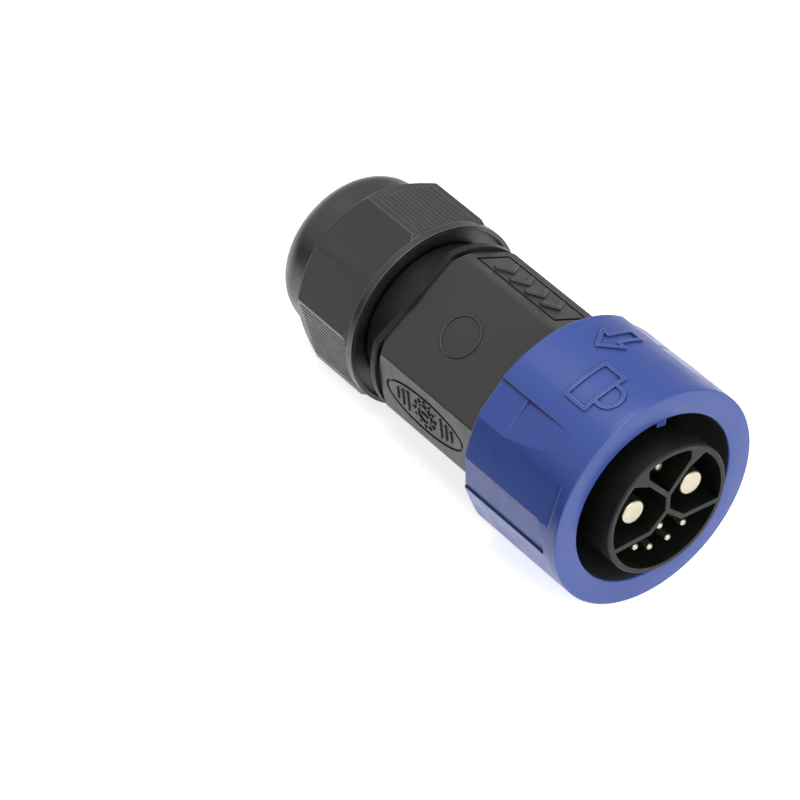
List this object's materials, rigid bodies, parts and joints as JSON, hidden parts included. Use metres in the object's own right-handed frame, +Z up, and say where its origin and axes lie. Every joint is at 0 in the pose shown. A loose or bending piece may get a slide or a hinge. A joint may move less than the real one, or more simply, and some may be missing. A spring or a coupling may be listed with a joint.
{
  "type": "battery connector plug",
  "caption": "Round cable plug for a battery lead: pins in a chambered nose, bayonet coupling ring, six-sided shell and domed cable gland.",
  "frame": {"origin": "on the plug's axis, in the plane of the coupling ring's front face, over the middle of the nose", "axes": "+X along the plug's axis and out of its nose; +Z up when the plug lies on a wide face of its nut, which puts the small pin 14 degrees from +Z towards -Y"},
  "size_m": [0.1068, 0.05, 0.0504],
  "materials": {
    "ring_nylon": "blue moulded nylon, satin",
    "insert_nylon": "black moulded nylon, satin",
    "shell_nylon": "black moulded nylon, fine spark texture",
    "nut_nylon": "black moulded nylon, satin",
    "cage_nylon": "black moulded nylon",
    "seal_rubber": "black nitrile rubber",
    "seal_silicone": "dark red silicone rubber",
    "spring_steel": "stainless steel",
    "contact_plating": "turned copper alloy, silver plated"
  },
  "bodies": {
    "plug": {"contact_insert": "insert_nylon", "contact_carrier": "insert_nylon", "coupling_hub": "insert_nylon", "rear_shell": "shell_nylon", "clamp_cage": "cage_nylon", "contact_retainer": "insert_nylon", "cable_seal": "seal_rubber", "shell_o_ring": "seal_rubber", "interface_seal": "seal_silicone", "spring_washer": "spring_steel", "thrust_washer": "spring_steel", "retaining_clip": "spring_steel", "retainer_screw": "spring_steel", "power_pin_left": "contact_plating", "power_pin_right": "contact_plating", "aux_pin": "contact_plating", "signal_pin_1": "contact_plating", "signal_pin_2": "contact_plating", "signal_pin_3": "contact_plating", "signal_pin_4": "contact_plating", "signal_pin_5": "contact_plating"},
    "coupling": {"coupling_ring": "ring_nylon"},
    "follower": {"slip_ring": "cage_nylon"},
    "gland": {"gland_nut": "nut_nylon"}
  },
  "joints": [
    {"name": "ring_turn", "type": "hinge", "parent": "plug", "child": "coupling", "pos_m": [0, 0, 0], "axis": [1, 0, 0], "range_deg": [0, 45]},
    {"name": "gland_travel", "type": "slide", "parent": "plug", "child": "follower", "axis": [1, 0, 0], "range_m": [-0.008, 0]},
    {"name": "gland_nut_turn", "type": "hinge", "parent": "follower", "child": "gland", "pos_m": [-0.085, 0, 0], "axis": [1, 0, 0], "range_deg": [-1440, 0]}
  ],
  "couplings": [
    {"joint": "gland_travel", "follows": "gland_nut_turn", "m_per_rad": 0.0003183}
  ]
}
